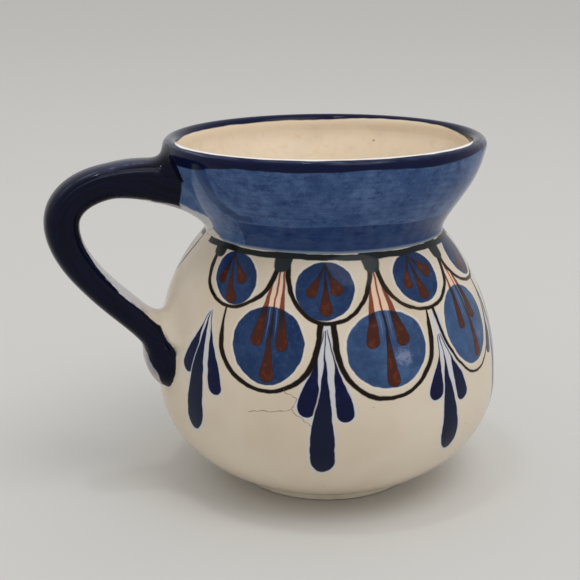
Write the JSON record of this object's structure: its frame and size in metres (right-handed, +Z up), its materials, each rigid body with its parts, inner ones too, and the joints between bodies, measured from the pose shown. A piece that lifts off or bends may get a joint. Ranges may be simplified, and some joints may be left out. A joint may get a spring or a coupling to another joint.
{
  "type": "clay mug",
  "caption": "Round-bellied clay mug on a low turned foot, with a flared collar, a rolled lip and one pulled strap handle; holds a hot or cold drink.",
  "frame": {"origin": "middle of the flat face that the foot rests on", "axes": "+Z up along the mug's axis, handle along -X"},
  "size_m": [0.1285, 0.099, 0.1],
  "materials": {
    "foot": "unglazed fired clay, matt and slightly rough",
    "belly": "clear glaze over cream slip, gloss, painted ornament",
    "collar": "clear glaze over brushed blue slip, gloss",
    "lip": "near-black cobalt glaze, gloss",
    "handle": "near-black cobalt glaze, gloss",
    "luting": "clear glaze over smeared joining clay"
  },
  "bodies": {
    "root": {"foot_ring": "foot", "belly": "belly", "collar": "collar", "lip": "lip", "handle": "handle", "upper_luting": "luting", "lower_luting": "luting"}
  },
  "joints": []
}
